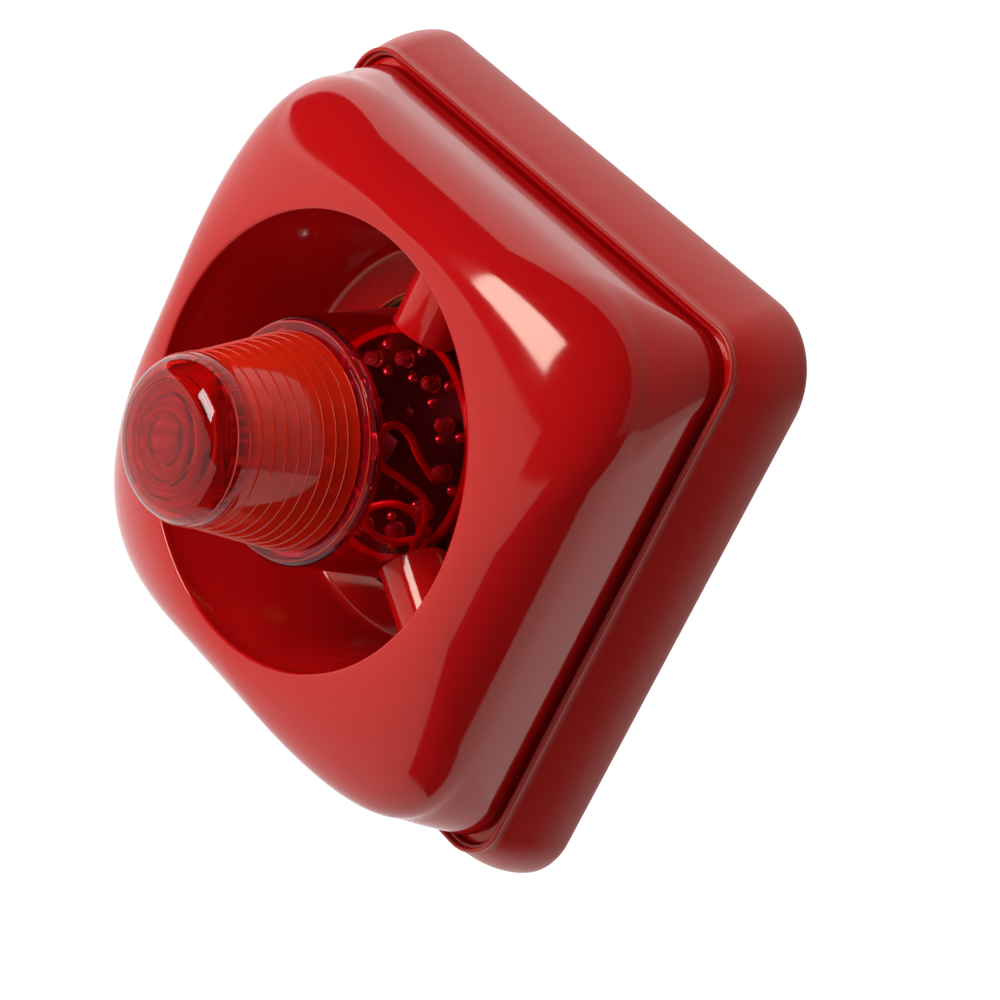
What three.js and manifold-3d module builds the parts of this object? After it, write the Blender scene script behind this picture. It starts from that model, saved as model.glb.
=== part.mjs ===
// Wall-mounted alarm siren: a flared square back box, a glossy cap moulded with a round horn, and a
// signal lamp carried by three struts in the middle of the horn.
// Millimetres. +X right, +Z up, +Y into the wall. The origin is the centre of the wall face, and a
// depth is a distance in front of that face, so a point at depth d lies at y = -d.

import * as THREE from 'three';
import { mergeVertices } from 'three/addons/utils/BufferGeometryUtils.js';
import Module from 'manifold-3d';

const wasm = await Module();
wasm.setup();

// ---------------------------------------------------------------- driving dimensions
const GAP = 0.3;              // clearance between pieces that touch
const CORNER_STEPS = 7;       // facets in a quarter turn of a square ring's corner
const ROUND = 4 * CORNER_STEPS;

const BOX = {
  half: 67, corner: 15.8,             // outline on the wall
  lipHalf: 61.55, lipCorner: 9.6,     // outline at the front lip
  depth: 15.85, floor: 2.5,
  innerHalf: 59.95, innerCorner: 8,
  shelf: 7.2, wellHalf: 56, wellCorner: 4,
};
const CAP = {
  rear: 9.3, rearHalf: 59, rearCorner: 10.7,
  brow: 30.6, browHalf: 60, browCorner: 23.6,   // where the sides end and the shoulder begins
  wall: 2.3,
};
const HORN = {
  mouthDepth: 48.9, mouthR: 46, throatDepth: 14.1, throatR: 41.4,
  floor: 2.1, slotR: 31.5, wall: 2.2, rim: 0.7,
};
const STRUT = { r: 7, depth: 29.3, angles: [90, 210, 330], bore: 3 };
const TUBE = { rear: 15.5, front: 51.3, rearR: 28.3, frontR: 24.4, wall: 2 };
const LENS = {
  flange: 52.4, flangeR: 23.5, rootR: 21.45, ribEnd: 79.7, tipR: 15.92, tip: 84.6,
  wall: 1.8, spigotR: 20.6, spigotRear: 46,
};
const BOARD = { half: 50, chamfer: 7, rear: 5, thick: 1.6, notchX: 14, notchZ: -34 };
const LED_BOARD = { r: 23, rear: 24, thick: 1.6 };
const LED = { count: 12, first: -15, circle: 17.5, r: 1.5, height: 3.6 };
const CHAMBER = { r: 33, rear: 8.2, front: 11.7, wall: 1.5 };
const COVER_SCREW = { circle: 37, angles: [10, 190], r: 1.5, headR: 2.8, headH: 2.2, postR: 3.4 };
const TERMINAL = { x: 36, z: -41.5, width: 21, depth: 9, height: 10, count: 4, pitch: 5 };
const SWITCH = { x: -40, z: 40.5, width: 12, depth: 9.6, height: 4, count: 4, pitch: 2.54 };
const TRIMMER = { x: -24, z: 46, size: 7, height: 4, rotorR: 2.2 };
const LINK = { x: 28, z: -28, width: 9, depth: 4.6 };
const GROMMET = { z: -43, r: 5.7, bore: 4, flangeR: 8 };
const BOARD_SCREWS = [[46, 22], [46, -22], [-46, -22], [-46, 22]];
const LEAD_R = 0.75;
const BOARD_FRONT = BOARD.rear + BOARD.thick;
const PART_REAR = BOARD_FRONT + GAP;            // foot of everything mounted on the main board

// ---------------------------------------------------------------- solids
const { degToRad } = THREE.MathUtils;

function meshVolume(position, index) {
  const [a, b, c] = [0, 1, 2].map(() => new THREE.Vector3());
  let six = 0;
  for (let i = 0; i < index.length; i += 3) {
    a.fromBufferAttribute(position, index[i]);
    b.fromBufferAttribute(position, index[i + 1]);
    c.fromBufferAttribute(position, index[i + 2]);
    six += a.dot(b.cross(c));
  }
  return six / 6;
}

// One closed body: shared corners merged, collapsed triangles dropped, faces pointing out.
function closed(geometry) {
  const bare = new THREE.BufferGeometry();
  bare.setAttribute('position', geometry.getAttribute('position').clone());
  if (geometry.index) bare.setIndex(geometry.index.clone());
  const merged = mergeVertices(bare, 1e-4);
  const old = merged.index.array;
  const kept = [];
  for (let i = 0; i < old.length; i += 3) {
    const [a, b, c] = [old[i], old[i + 1], old[i + 2]];
    if (a !== b && b !== c && c !== a) kept.push(a, b, c);
  }
  if (meshVolume(merged.getAttribute('position'), kept) < 0) kept.reverse();
  merged.setIndex(kept);
  return merged;
}

// A turned piece about the Y axis, from [radius, depth] points. A profile that leaves the axis
// closes on itself.
function turned(profile, sides = ROUND) {
  const points = profile.map(([r, depth]) => new THREE.Vector2(r, -depth));
  const onAxis = profile[0][0] === 0 && profile.at(-1)[0] === 0;
  if (!onAxis) points.push(points[0].clone());
  return closed(new THREE.LatheGeometry(points, sides));
}

const rod = (r, rear, front, sides = 12) => turned([[0, rear], [r, rear], [r, front], [0, front]], sides);

const block = (width, height, rear, front) => (
  closed(new THREE.BoxGeometry(width, front - rear, height).translate(0, -(front + rear) / 2, 0)));

const placed = (geometry, x, z) => geometry.translate(x, 0, z);

// A square outline with round corners at one depth. With the corner equal to the half width it
// is a circle.
function squareRing(half, corner, depth) {
  const ring = [];
  const offset = half - corner;
  [[1, 1], [-1, 1], [-1, -1], [1, -1]].forEach(([sx, sz], quarter) => {
    for (let i = 0; i <= CORNER_STEPS; i++) {
      const angle = (quarter + i / CORNER_STEPS) * Math.PI / 2;
      const x = sx * offset + corner * Math.cos(angle);
      const z = sz * offset + corner * Math.sin(angle);
      ring.push(new THREE.Vector3(x, -depth, z));
    }
  });
  return ring;
}

const circleRing = (r, depth) => squareRing(r, r, depth);

// A skin through rings of equal length. Looped, the last ring joins the first; otherwise both
// ends are closed by a fan about the axis.
function loft(rings, looped = false) {
  const n = rings[0].length;
  const points = rings.flat();
  const faces = [];
  const strips = looped ? rings.length : rings.length - 1;
  for (let j = 0; j < strips; j++) {
    const next = (j + 1) % rings.length;
    for (let i = 0; i < n; i++) {
      const k = (i + 1) % n;
      faces.push(j * n + i, j * n + k, next * n + k, j * n + i, next * n + k, next * n + i);
    }
  }
  if (!looped) {
    const start = points.push(new THREE.Vector3(0, rings[0][0].y, 0)) - 1;
    const end = points.push(new THREE.Vector3(0, rings.at(-1)[0].y, 0)) - 1;
    const last = (rings.length - 1) * n;
    for (let i = 0; i < n; i++) {
      const k = (i + 1) % n;
      faces.push(start, k, i, end, last + i, last + k);
    }
  }
  const geometry = new THREE.BufferGeometry().setFromPoints(points);
  geometry.setIndex(faces);
  return closed(geometry);
}

// A lead along a smooth route of [x, depth, z] points.
function lead(route) {
  const path = new THREE.CatmullRomCurve3(route.map(([x, depth, z]) => new THREE.Vector3(x, -depth, z)));
  const section = new THREE.Shape();
  const sides = 6;
  for (let i = 0; i < sides; i++) {
    const angle = 2 * Math.PI * i / sides;
    const move = i ? 'lineTo' : 'moveTo';
    section[move](LEAD_R * Math.cos(angle), LEAD_R * Math.sin(angle));
  }
  return closed(new THREE.ExtrudeGeometry(section, { steps: 44, extrudePath: path, bevelEnabled: false }));
}

function toSolid(geometry) {
  const vertProperties = new Float32Array(geometry.getAttribute('position').array);
  const triVerts = new Uint32Array(geometry.index.array);
  return new wasm.Manifold(new wasm.Mesh({ numProp: 3, vertProperties, triVerts }));
}

function fromSolid(solid) {
  const { vertProperties, triVerts } = solid.getMesh();
  const geometry = new THREE.BufferGeometry();
  geometry.setAttribute('position', new THREE.BufferAttribute(new Float32Array(vertProperties), 3));
  geometry.setIndex(new THREE.BufferAttribute(new Uint32Array(triVerts), 1));
  return geometry;
}

// The body with every added piece joined on, then every tool cut out.
function shaped(body, added, tools) {
  let solid = toSolid(body);
  added.forEach((piece) => { solid = solid.add(toSolid(piece)); });
  tools.forEach((tool) => { solid = solid.subtract(toSolid(tool)); });
  return fromSolid(solid);
}

const onCircle = (r, angle) => [r * Math.cos(degToRad(angle)), r * Math.sin(degToRad(angle))];

// ---------------------------------------------------------------- materials and assembly
const paint = (color, roughness, metalness = 0, more = {}) => (
  new THREE.MeshStandardMaterial({ color, roughness, metalness, ...more }));

const MATERIALS = {
  satinRed: paint(0xb4302a, 0.45),
  glossRed: paint(0xc01418, 0.12),
  clearRed: paint(0xd01010, 0.08, 0, { transparent: true, opacity: 0.5 }),
  leadRed: paint(0x9a1016, 0.4),
  rubber: paint(0x3a1012, 0.8),
  blackPlastic: paint(0x141214, 0.5),
  board: paint(0x17402a, 0.5),
  blackBoard: paint(0x101012, 0.45),
  steel: paint(0xb8babd, 0.3, 1),
  brass: paint(0xc9a14e, 0.3, 1),
  ceramic: paint(0xe6e0d2, 0.6),
  greenPlastic: paint(0x2f7f4a, 0.5),
  bluePlastic: paint(0x2858a0, 0.45),
  whitePlastic: paint(0xf0efe8, 0.5),
  copper: paint(0xa8572a, 0.35, 0.8),
};

const group = new THREE.Group();

function add(name, geometry, material) {
  const mesh = new THREE.Mesh(geometry, MATERIALS[material]);
  mesh.name = name;
  group.add(mesh);
}

// ---------------------------------------------------------------- back box
// The side runs from the wall outline to the lip in one convex sweep.
function boxSide() {
  const rings = [[BOX.half - 0.5, 0], [BOX.half, 0.5]];
  const steps = 5;
  for (let i = 1; i <= steps; i++) {
    const s = i / steps;
    rings.push([BOX.lipHalf + (BOX.half - BOX.lipHalf) * (1 - s ** 1.6), 0.5 + s * (BOX.depth - 1.5)]);
  }
  const centreAtWall = BOX.half - BOX.corner;
  const centreAtLip = BOX.lipHalf - BOX.lipCorner;
  return rings.map(([half, depth]) => {
    const centre = centreAtWall + (centreAtLip - centreAtWall) * depth / BOX.depth;
    return squareRing(half, half - centre, depth);
  });
}

function backBox() {
  const bead = 0.55;
  const rings = [
    ...boxSide(),
    squareRing(BOX.lipHalf - bead, BOX.lipCorner - bead, BOX.depth),
    squareRing(BOX.innerHalf + bead, BOX.innerCorner + bead, BOX.depth),
    squareRing(BOX.innerHalf, BOX.innerCorner, BOX.depth - bead),
    squareRing(BOX.innerHalf, BOX.innerCorner, BOX.shelf),
    squareRing(BOX.wellHalf, BOX.wellCorner, BOX.shelf),
    squareRing(BOX.wellHalf, BOX.wellCorner, BOX.floor),
  ];
  const foot = BOX.floor - 1;
  const posts = COVER_SCREW.angles.map((angle) => (
    placed(rod(COVER_SCREW.postR, foot, 10.5, 14), ...onCircle(COVER_SCREW.circle, angle))));
  const standoffs = BOARD_SCREWS.map(([x, z]) => placed(rod(3, foot, BOARD.rear - GAP), x, z));
  const screwHoles = COVER_SCREW.angles.map((angle) => (
    placed(rod(COVER_SCREW.r + 0.4, 4.5, 11), ...onCircle(COVER_SCREW.circle, angle))));
  const pilotHoles = BOARD_SCREWS.map(([x, z]) => placed(rod(1.3, 3, 5, 8), x, z));
  const wallHoles = [[1, 1], [-1, 1], [-1, -1], [1, -1]].map(([sx, sz]) => (
    placed(rod(2.4, -1, 4), 51.5 * sx, 51.5 * sz)));
  const cableHole = placed(rod(GROMMET.r + GAP, -1, 4, 16), 0, GROMMET.z);
  return shaped(loft(rings), [...posts, ...standoffs], [...screwHoles, ...pilotHoles, ...wallHoles, cableHole]);
}

function boxGasket() {
  return loft([
    squareRing(58.9, 10, BOX.shelf + GAP),
    squareRing(58.9, 10, CAP.rear - GAP),
    squareRing(56.9, 8, CAP.rear - GAP),
    squareRing(56.9, 8, BOX.shelf + GAP),
  ], true);
}

function grommet() {
  const { r, bore, flangeR } = GROMMET;
  const rear = BOX.floor + GAP;
  const profile = [[bore, 0.2], [r, 0.2], [r, rear], [flangeR, rear], [flangeR, rear + 1.2], [bore, rear + 1.6]];
  return placed(turned(profile, 16), 0, GROMMET.z);
}

// ---------------------------------------------------------------- main board and what it carries
function mainBoard() {
  const { half, chamfer, notchX, notchZ } = BOARD;
  const edge = half - chamfer;
  const outline = [
    [-edge, -half], [-notchX, -half], [-notchX, notchZ], [notchX, notchZ], [notchX, -half], [edge, -half],
    [half, -edge], [half, edge], [edge, half], [-edge, half], [-half, edge], [-half, -edge],
  ];
  const shape = new THREE.Shape(outline.map(([x, z]) => new THREE.Vector2(x, z)));
  const hole = (x, z, r) => shape.holes.push(new THREE.Path().absellipse(x, z, r, r, 0, 2 * Math.PI, true));
  BOARD_SCREWS.forEach(([x, z]) => hole(x, z, 1.5));
  COVER_SCREW.angles.forEach((angle) => hole(...onCircle(COVER_SCREW.circle, angle), COVER_SCREW.postR + 0.5));
  const slab = new THREE.ExtrudeGeometry(shape, { depth: BOARD.thick, bevelEnabled: false, curveSegments: 6 });
  return closed(slab.rotateX(Math.PI / 2).translate(0, -BOARD.rear, 0));
}

// A slotted screw with its head towards the front.
function slottedScrew(headR, headRear, headFront, shankR, shankRear, sides = 12) {
  const profile = [[0, shankRear], [shankR, shankRear], [shankR, headRear], [headR, headRear],
    [headR, headFront], [0, headFront]];
  const slot = block(headR * 3, headR * 0.3, headFront - 0.8, headFront + 1);
  return shaped(turned(profile, sides), [], [slot]);
}

function terminalBlock() {
  const { x, z, width, depth, height, count, pitch } = TERMINAL;
  const front = PART_REAR + height;
  const tools = [];
  for (let i = 0; i < count; i++) {
    const wayX = (i - (count - 1) / 2) * pitch;
    tools.push(placed(rod(2, front - 5, front + 1), wayX, 0.8));
    tools.push(placed(block(3, 6, PART_REAR + 1.2, PART_REAR + 4), wayX, -depth / 2));
  }
  return placed(shaped(block(width, depth, PART_REAR, front), [], tools), x, z);
}

function addTerminalScrews() {
  const front = PART_REAR + TERMINAL.height;
  for (let i = 0; i < TERMINAL.count; i++) {
    const x = TERMINAL.x + (i - (TERMINAL.count - 1) / 2) * TERMINAL.pitch;
    const screw = slottedScrew(1.7, front - 2.6, front - 0.8, 1.1, front - 4.6, 10);
    add(`terminal_screw_${i + 1}`, placed(screw, x, TERMINAL.z + 0.8), 'steel');
  }
}

function toneSwitch() {
  const { x, z, width, depth, height, count, pitch } = SWITCH;
  const front = PART_REAR + height;
  const slots = [];
  for (let i = 0; i < count; i++) {
    slots.push(placed(block(1.6, 4.8, front - 2, front + 1), (i - (count - 1) / 2) * pitch, 0));
  }
  return placed(shaped(block(width, depth, PART_REAR, front), [], slots), x, z);
}

function addToneLevers() {
  const front = PART_REAR + SWITCH.height;
  for (let i = 0; i < SWITCH.count; i++) {
    const x = SWITCH.x + (i - (SWITCH.count - 1) / 2) * SWITCH.pitch;
    add(`tone_lever_${i + 1}`, placed(block(1, 2, front - 1.7, front + 0.7), x, SWITCH.z - 0.9), 'whitePlastic');
  }
}

function trimmerBody() {
  const { x, z, size, height, rotorR } = TRIMMER;
  const front = PART_REAR + height;
  const well = rod(rotorR + GAP, front - 1.6, front + 1, 16);
  return placed(shaped(block(size, size, PART_REAR, front), [], [well]), x, z);
}

function trimmerRotor() {
  const { x, z, height, rotorR } = TRIMMER;
  const front = PART_REAR + height;
  const slot = block(rotorR * 3, 0.7, front - 0.4, front + 2);
  return placed(shaped(rod(rotorR, front - 1.3, front + 0.5, 16), [], [slot]), x, z);
}

function capacitor() {
  const front = PART_REAR + 12;
  const profile = [[0, PART_REAR], [4.6, PART_REAR], [5, PART_REAR + 0.6], [5, PART_REAR + 1.6],
    [4.7, PART_REAR + 2], [5, PART_REAR + 2.4], [5, front - 0.4], [4.6, front], [0, front]];
  return placed(turned(profile, 16), 41, 41);
}

function stepUpCoil() {
  const front = PART_REAR + 10;
  const profile = [[0, PART_REAR], [6.5, PART_REAR], [6.5, PART_REAR + 1.2], [5.4, PART_REAR + 1.2],
    [5.4, front - 1.2], [6.5, front - 1.2], [6.5, front], [0, front]];
  return placed(turned(profile, 16), -41, -40);
}

// ---------------------------------------------------------------- cap, horn and struts
const hornRadius = (depth) => {
  const s = (depth - HORN.throatDepth) / (HORN.mouthDepth - HORN.throatDepth);
  return HORN.throatR + (HORN.mouthR - HORN.throatR) * s ** 1.5;
};

// The shoulder is a quarter of an ellipse from the brow to the mouth, while its corners grow
// round until they meet the mouth's circle. Set in by the wall, it is the inside face.
function shoulder(inset, turns) {
  const run = CAP.browHalf - HORN.mouthR;
  const rise = HORN.mouthDepth - CAP.brow;
  return turns.map((turn) => {
    const angle = turn * Math.PI / 2;
    const half = HORN.mouthR + (run - inset) * Math.cos(angle);
    const full = run * Math.cos(angle);
    const corner = HORN.mouthR - (HORN.mouthR - CAP.browCorner) * (full / run) ** 2.13;
    return squareRing(half, Math.min(half, corner - inset * Math.cos(angle)), CAP.brow + (rise - inset) * Math.sin(angle));
  });
}

const tubeRadius = (depth) => {
  const s = (depth - TUBE.rear) / (TUBE.front - TUBE.rear);
  return TUBE.rearR + (TUBE.frontR - TUBE.rearR) * s;
};

// A round bar that points away from the axis at the struts' depth.
function radialBar(r, from, to, angle, sides) {
  const bar = new THREE.CylinderGeometry(r, r, to - from, sides).translate(0, (to + from) / 2, 0);
  bar.rotateX(Math.PI / 2).rotateY(degToRad(90 - angle)).translate(0, -STRUT.depth, 0);
  return closed(bar);
}

function frontCap() {
  const { rear, rearHalf, rearCorner, brow, browHalf, browCorner, wall } = CAP;
  const { mouthDepth, mouthR, throatDepth, throatR, slotR, rim } = HORN;
  const hornBack = throatDepth - HORN.floor;
  const outer = [
    squareRing(rearHalf, rearCorner, rear),
    squareRing(rearHalf + 0.2, rearCorner + 0.2, 16.6),
    squareRing((rearHalf + browHalf) / 2 + 0.2, (rearCorner + browCorner) / 2, 24),
    ...shoulder(0, [0, 0.14, 0.28, 0.42, 0.56, 0.7, 0.84, 0.95]),
    circleRing(mouthR, mouthDepth),
  ];
  const horn = [
    circleRing(mouthR - rim, mouthDepth - rim),
    ...[42, 35, 28, 21].map((depth) => circleRing(hornRadius(depth), depth)),
    circleRing(throatR, throatDepth + 1.8),
    circleRing(throatR - 1.8, throatDepth),
    circleRing(slotR, throatDepth),
    circleRing(slotR, hornBack),
    circleRing(throatR + 0.6, hornBack),
    circleRing(hornRadius(throatDepth + 2) + HORN.wall, throatDepth + 2),
    circleRing(hornRadius(31) + HORN.wall, 31),
    circleRing(hornRadius(44) + HORN.wall, 44),
  ];
  const inner = [
    ...shoulder(wall, [0.74, 0.5, 0.25, 0]),
    squareRing(rearHalf - wall, rearCorner - wall, rear),
  ];
  const struts = STRUT.angles.map((angle) => radialBar(STRUT.r, 20, hornRadius(STRUT.depth) + 1, angle, 20));
  const tubeSeat = turned([[0, 15], [tubeRadius(15) + GAP, 15], [tubeRadius(50) + GAP, 50], [0, 50]], 48);
  const screwHoles = COVER_SCREW.angles.map((angle) => (
    placed(rod(COVER_SCREW.r + 0.4, 10, 16), ...onCircle(COVER_SCREW.circle, angle))));
  const leadWay = radialBar(STRUT.bore, 18, 52, STRUT.angles.at(-1), 12);
  return shaped(loft([...outer, ...horn, ...inner], true), struts, [tubeSeat, ...screwHoles, leadWay]);
}

// ---------------------------------------------------------------- beacon
function beaconTube() {
  const { rear, front, rearR, frontR, wall } = TUBE;
  const body = turned([[rearR, rear], [frontR, front], [frontR - wall, front], [rearR - wall, rear]]);
  return shaped(body, [], [radialBar(STRUT.bore, 18, 35, STRUT.angles.at(-1), 12)]);
}

function beaconLens() {
  const { flange, flangeR, rootR, ribEnd, tipR, tip, wall, spigotR, spigotRear } = LENS;
  const crown = [0.2, 0.4, 0.6, 0.8].map((turn) => {
    const angle = turn * Math.PI / 2;
    return [tipR * Math.cos(angle) ** 0.5, ribEnd + (tip - ribEnd) * Math.sin(angle) ** 0.9];
  });
  const hollow = crown.map(([r, depth]) => [r - wall, depth - wall]).reverse();
  return turned([
    [0, tip], ...crown.reverse(), [tipR, ribEnd], [rootR, flange + 0.9], [flangeR, flange], [flangeR, flange - 0.8],
    [spigotR, flange - 0.8], [spigotR, spigotRear], [spigotR - wall, spigotRear],
    [rootR - wall - 0.5, flange + 0.9], [tipR - wall, ribEnd - wall], ...hollow, [0, tip - wall],
  ], 40);
}

function lensSeal() {
  const rear = 47.4;
  const innerR = LENS.spigotR + GAP;
  return turned([[innerR, rear], [innerR + 1.1, rear], [innerR + 1.1, rear + 1.4], [innerR, rear + 1.4]], ROUND);
}

function bulkhead() {
  const disc = rod(25.5, 17, 19.4, ROUND);
  const pegs = [30, 150, 270].map((angle) => placed(rod(1.8, 18, LED_BOARD.rear - GAP, 8), ...onCircle(12, angle)));
  return shaped(disc, pegs, []);
}

function addLamps() {
  const foot = LED_BOARD.rear + LED_BOARD.thick + GAP;
  const dome = LED.height - LED.r;
  for (let i = 0; i < LED.count; i++) {
    const [x, z] = onCircle(LED.circle, LED.first + i * 360 / LED.count);
    const profile = [[0, foot], [LED.r + 0.3, foot], [LED.r + 0.3, foot + 0.6], [LED.r, foot + 0.6],
      [LED.r, foot + dome], [LED.r * 0.7, foot + dome + LED.r * 0.7], [0, foot + LED.height]];
    add(`led_${String(i + 1).padStart(2, '0')}`, placed(turned(profile, 8), x, z), 'clearRed');
  }
}

// Both leads rise from the board in a loop, leave through the last strut's bore and run behind
// the horn to the head's plug. Points are [x, depth, z].
const LEAD_ROUTES = {
  lead_supply: [
    [14.5, 27, 2.2], [13, 31, 5.6], [11.4, 36, 10.4], [11.2, 41, 11.1], [11.8, 43, 8.4], [13.6, 42, 5],
    [17, 37, 2.7], [20.4, 32.5, 0.5], [21, 30.2, -5], [21.2, 30.2, -10.6], [26, 30.2, -14.2],
    [34, 30.2, -18.8], [42, 30.2, -23.4], [47.4, 28, -26.4], [48, 20, -26.8], [45, 13, -26.6],
    [39, 10.6, -26.8], [33.3, 10.6, -27],
  ],
  lead_return: [
    [18, 27, -10.2], [16.4, 30.4, -12], [13.8, 34.4, -12], [12.1, 37, -9.1], [14.9, 36, -4.2],
    [18.2, 33, -3.2], [19.6, 29.6, -6], [20.2, 28.3, -11.6], [26, 28.3, -15.4],
    [34, 28.3, -20], [42, 28.3, -24.6], [46.4, 26, -28], [46.8, 20, -29], [44, 13, -29.2],
    [39, 10.6, -29], [33.3, 10.6, -29],
  ],
};

// ---------------------------------------------------------------- sounder and the head's plug
function sounderChamber() {
  const { r, rear, front, wall } = CHAMBER;
  const floor = rear + 1.2;
  return turned([[0, rear], [r, rear], [r, front], [r - wall, front], [r - wall, front - 1.5],
    [r - 4.5, front - 1.5], [r - 4.5, floor], [0, floor]]);
}

const linkPiece = (rear, front, trim) => (
  placed(block(LINK.width - trim, LINK.depth - trim, rear, front), LINK.x, LINK.z));

function addCoverScrews() {
  const seat = HORN.throatDepth + GAP;
  COVER_SCREW.angles.forEach((angle, i) => {
    const screw = slottedScrew(COVER_SCREW.headR, seat, seat + COVER_SCREW.headH, COVER_SCREW.r, 5.5, 16);
    add(`cover_screw_${i + 1}`, placed(screw, ...onCircle(COVER_SCREW.circle, angle)), 'steel');
  });
}

// ---------------------------------------------------------------- the siren
add('back_box', backBox(), 'satinRed');
add('box_gasket', boxGasket(), 'rubber');
add('cable_grommet', grommet(), 'rubber');
add('main_board', mainBoard(), 'board');
BOARD_SCREWS.forEach(([x, z], i) => {
  const screw = slottedScrew(2.4, PART_REAR, PART_REAR + 1.6, 0.9, 3.4, 10);
  add(`board_screw_${i + 1}`, placed(screw, x, z), 'steel');
});
add('terminal_block', terminalBlock(), 'greenPlastic');
addTerminalScrews();
add('tone_switch', toneSwitch(), 'bluePlastic');
addToneLevers();
add('volume_trimmer', trimmerBody(), 'bluePlastic');
add('volume_rotor', trimmerRotor(), 'brass');
add('capacitor', capacitor(), 'blackPlastic');
add('step_up_coil', stepUpCoil(), 'copper');
add('driver_chip', placed(block(9.6, 6.4, PART_REAR, PART_REAR + 3.4), 20, 46), 'blackPlastic');
add('board_header', linkPiece(PART_REAR, 9, 0), 'blackPlastic');

add('front_cap', frontCap(), 'glossRed');
add('beacon_tube', beaconTube(), 'clearRed');
add('beacon_lens', beaconLens(), 'clearRed');
add('lens_seal', lensSeal(), 'rubber');
add('beacon_bulkhead', bulkhead(), 'blackPlastic');
add('led_board', rod(LED_BOARD.r, LED_BOARD.rear, LED_BOARD.rear + LED_BOARD.thick, ROUND), 'blackBoard');
addLamps();
Object.entries(LEAD_ROUTES).forEach(([name, route]) => add(name, lead(route), 'leadRed'));
add('sounder_chamber', sounderChamber(), 'blackPlastic');
add('piezo_plate', rod(31.2, 10.5, 10.8, ROUND), 'brass');
add('piezo_ceramic', rod(22, 9.8, 10.2, ROUND), 'ceramic');
add('head_plug', linkPiece(9.3, 11.7, 0.6), 'whitePlastic');
addCoverScrews();

export default group;
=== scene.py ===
"""A wall-mounted alarm siren: satin back box, glossy cap with a round horn, and a ribbed red lamp.

Lengths are millimetres in the constants and profiles, and metres in the meshes. A depth is a
distance in front of the wall face, so a point at depth d lies at y = -d.
"""

import math

import bmesh
import bpy
from mathutils import Matrix, Vector


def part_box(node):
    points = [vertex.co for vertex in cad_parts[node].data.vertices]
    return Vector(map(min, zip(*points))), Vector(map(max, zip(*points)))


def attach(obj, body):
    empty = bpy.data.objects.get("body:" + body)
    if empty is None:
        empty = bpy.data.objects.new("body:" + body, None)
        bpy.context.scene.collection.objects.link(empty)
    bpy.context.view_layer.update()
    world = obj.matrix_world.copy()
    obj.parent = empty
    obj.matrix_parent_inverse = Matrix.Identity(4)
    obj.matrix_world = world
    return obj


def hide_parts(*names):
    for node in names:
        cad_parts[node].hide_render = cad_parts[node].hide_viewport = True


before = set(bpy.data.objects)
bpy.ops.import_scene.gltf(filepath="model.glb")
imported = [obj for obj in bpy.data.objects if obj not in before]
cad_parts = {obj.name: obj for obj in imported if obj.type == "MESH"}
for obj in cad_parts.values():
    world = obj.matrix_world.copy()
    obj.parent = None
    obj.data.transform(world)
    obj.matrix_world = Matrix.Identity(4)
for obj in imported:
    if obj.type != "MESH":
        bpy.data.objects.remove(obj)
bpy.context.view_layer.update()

MM = 0.001
TURN = 2 * math.pi


def reach(part):
    """How far a CAD node reaches: its greatest x and its rear and front depths, in millimetres."""
    low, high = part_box(part)
    return high.x / MM, -high.y / MM, -low.y / MM


def spot(part):
    """Where a CAD node's centre lies as seen from the front: its x and z, in millimetres."""
    low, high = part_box(part)
    centre = (low + high) / 2 / MM
    return centre.x, centre.z


# ---------------------------------------------------------------- sizes, from the frame
BOX_HALF, _, BOX_DEPTH = reach("back_box")
CAP_HALF, CAP_REAR, MOUTH_DEPTH = reach("front_cap")
TUBE_REAR_R, TUBE_REAR, TUBE_FRONT = reach("beacon_tube")
FLANGE_R, _, LENS_TIP = reach("beacon_lens")
LAMP_BOARD_R, LAMP_BOARD_REAR, LAMP_BOARD_FRONT = reach("led_board")
BULKHEAD_R, BULKHEAD_REAR, _ = reach("beacon_bulkhead")
_, BOARD_REAR, BOARD_FRONT = reach("main_board")

# the back box
BOX_CORNER = 15.8
LIP_HALF = BOX_HALF - 5.45
LIP_CORNER = 9.6
BEAD_R = 0.5
BOX_INNER = LIP_HALF - 1.6
SHELF_DEPTH = 7.2           # the shelf that the gasket lies on
WELL_HALF = 56
BOX_FLOOR = 2.5
WALL_HOLE_AT = 51.5         # each way from the middle
WALL_HOLE_R = 2.4
CABLE_HOLE_R = 6
POST_TOP = 10.5             # the posts that the cover screws go into reach this far

# the cap and its horn
CAP_REAR_HALF = CAP_HALF - 1
CAP_REAR_CORNER = 10.7
SKIRT_START = 16.6
BROW_DEPTH = 30.6           # where the cap is widest and its rounded shoulder starts
BROW_CORNER = 23.6
CAP_WALL = 2.3
EASE = 0.5
MOUTH_R = 46
RIM_R = 0.7
THROAT_DEPTH = 14.1
THROAT_R = 41.4
THROAT_SLOT_R = 31.5
HORN_WALL = 2.2
COVER_BORE_R = 1.9

# the struts
STRUT_R = 7
STRUT_DEPTH = 29.3
STRUT_ANGLES = (90, 210, 330)
STRUT_FILLET = 1.3
LEAD_BORE_R = 3             # the way out for the leads, through the last strut

# the lamp
TUBE_FRONT_R = 24.4
TUBE_WALL = 2
FLANGE_DEPTH = 52.4
HAZE_START = 51.3           # from here to the next depth, the tube's mouth turns hazy
HAZE_FULL = 52
LENS_WALL = 1.8
RIB_COUNT = 10
FIRST_RIB = 55.8
RIB_PITCH = 2.58
RIB_ROOT_R = 21.45
RIB_END = 79.7
TIP_R = 15.92
CROWN_R = TIP_R + 0.75
CROWN_START = RIB_END - 4.5
MILKY_END = 74.5            # from here to the next depth, the lens turns from milky to clear
CLEAR_START = 78.5
LAMP_COUNT = 12

RING = 112                  # points round a square outline
FINE = 128                  # steps round a large turned piece
CREASE = 32                 # degrees: an edge sharper than this stays sharp


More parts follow.
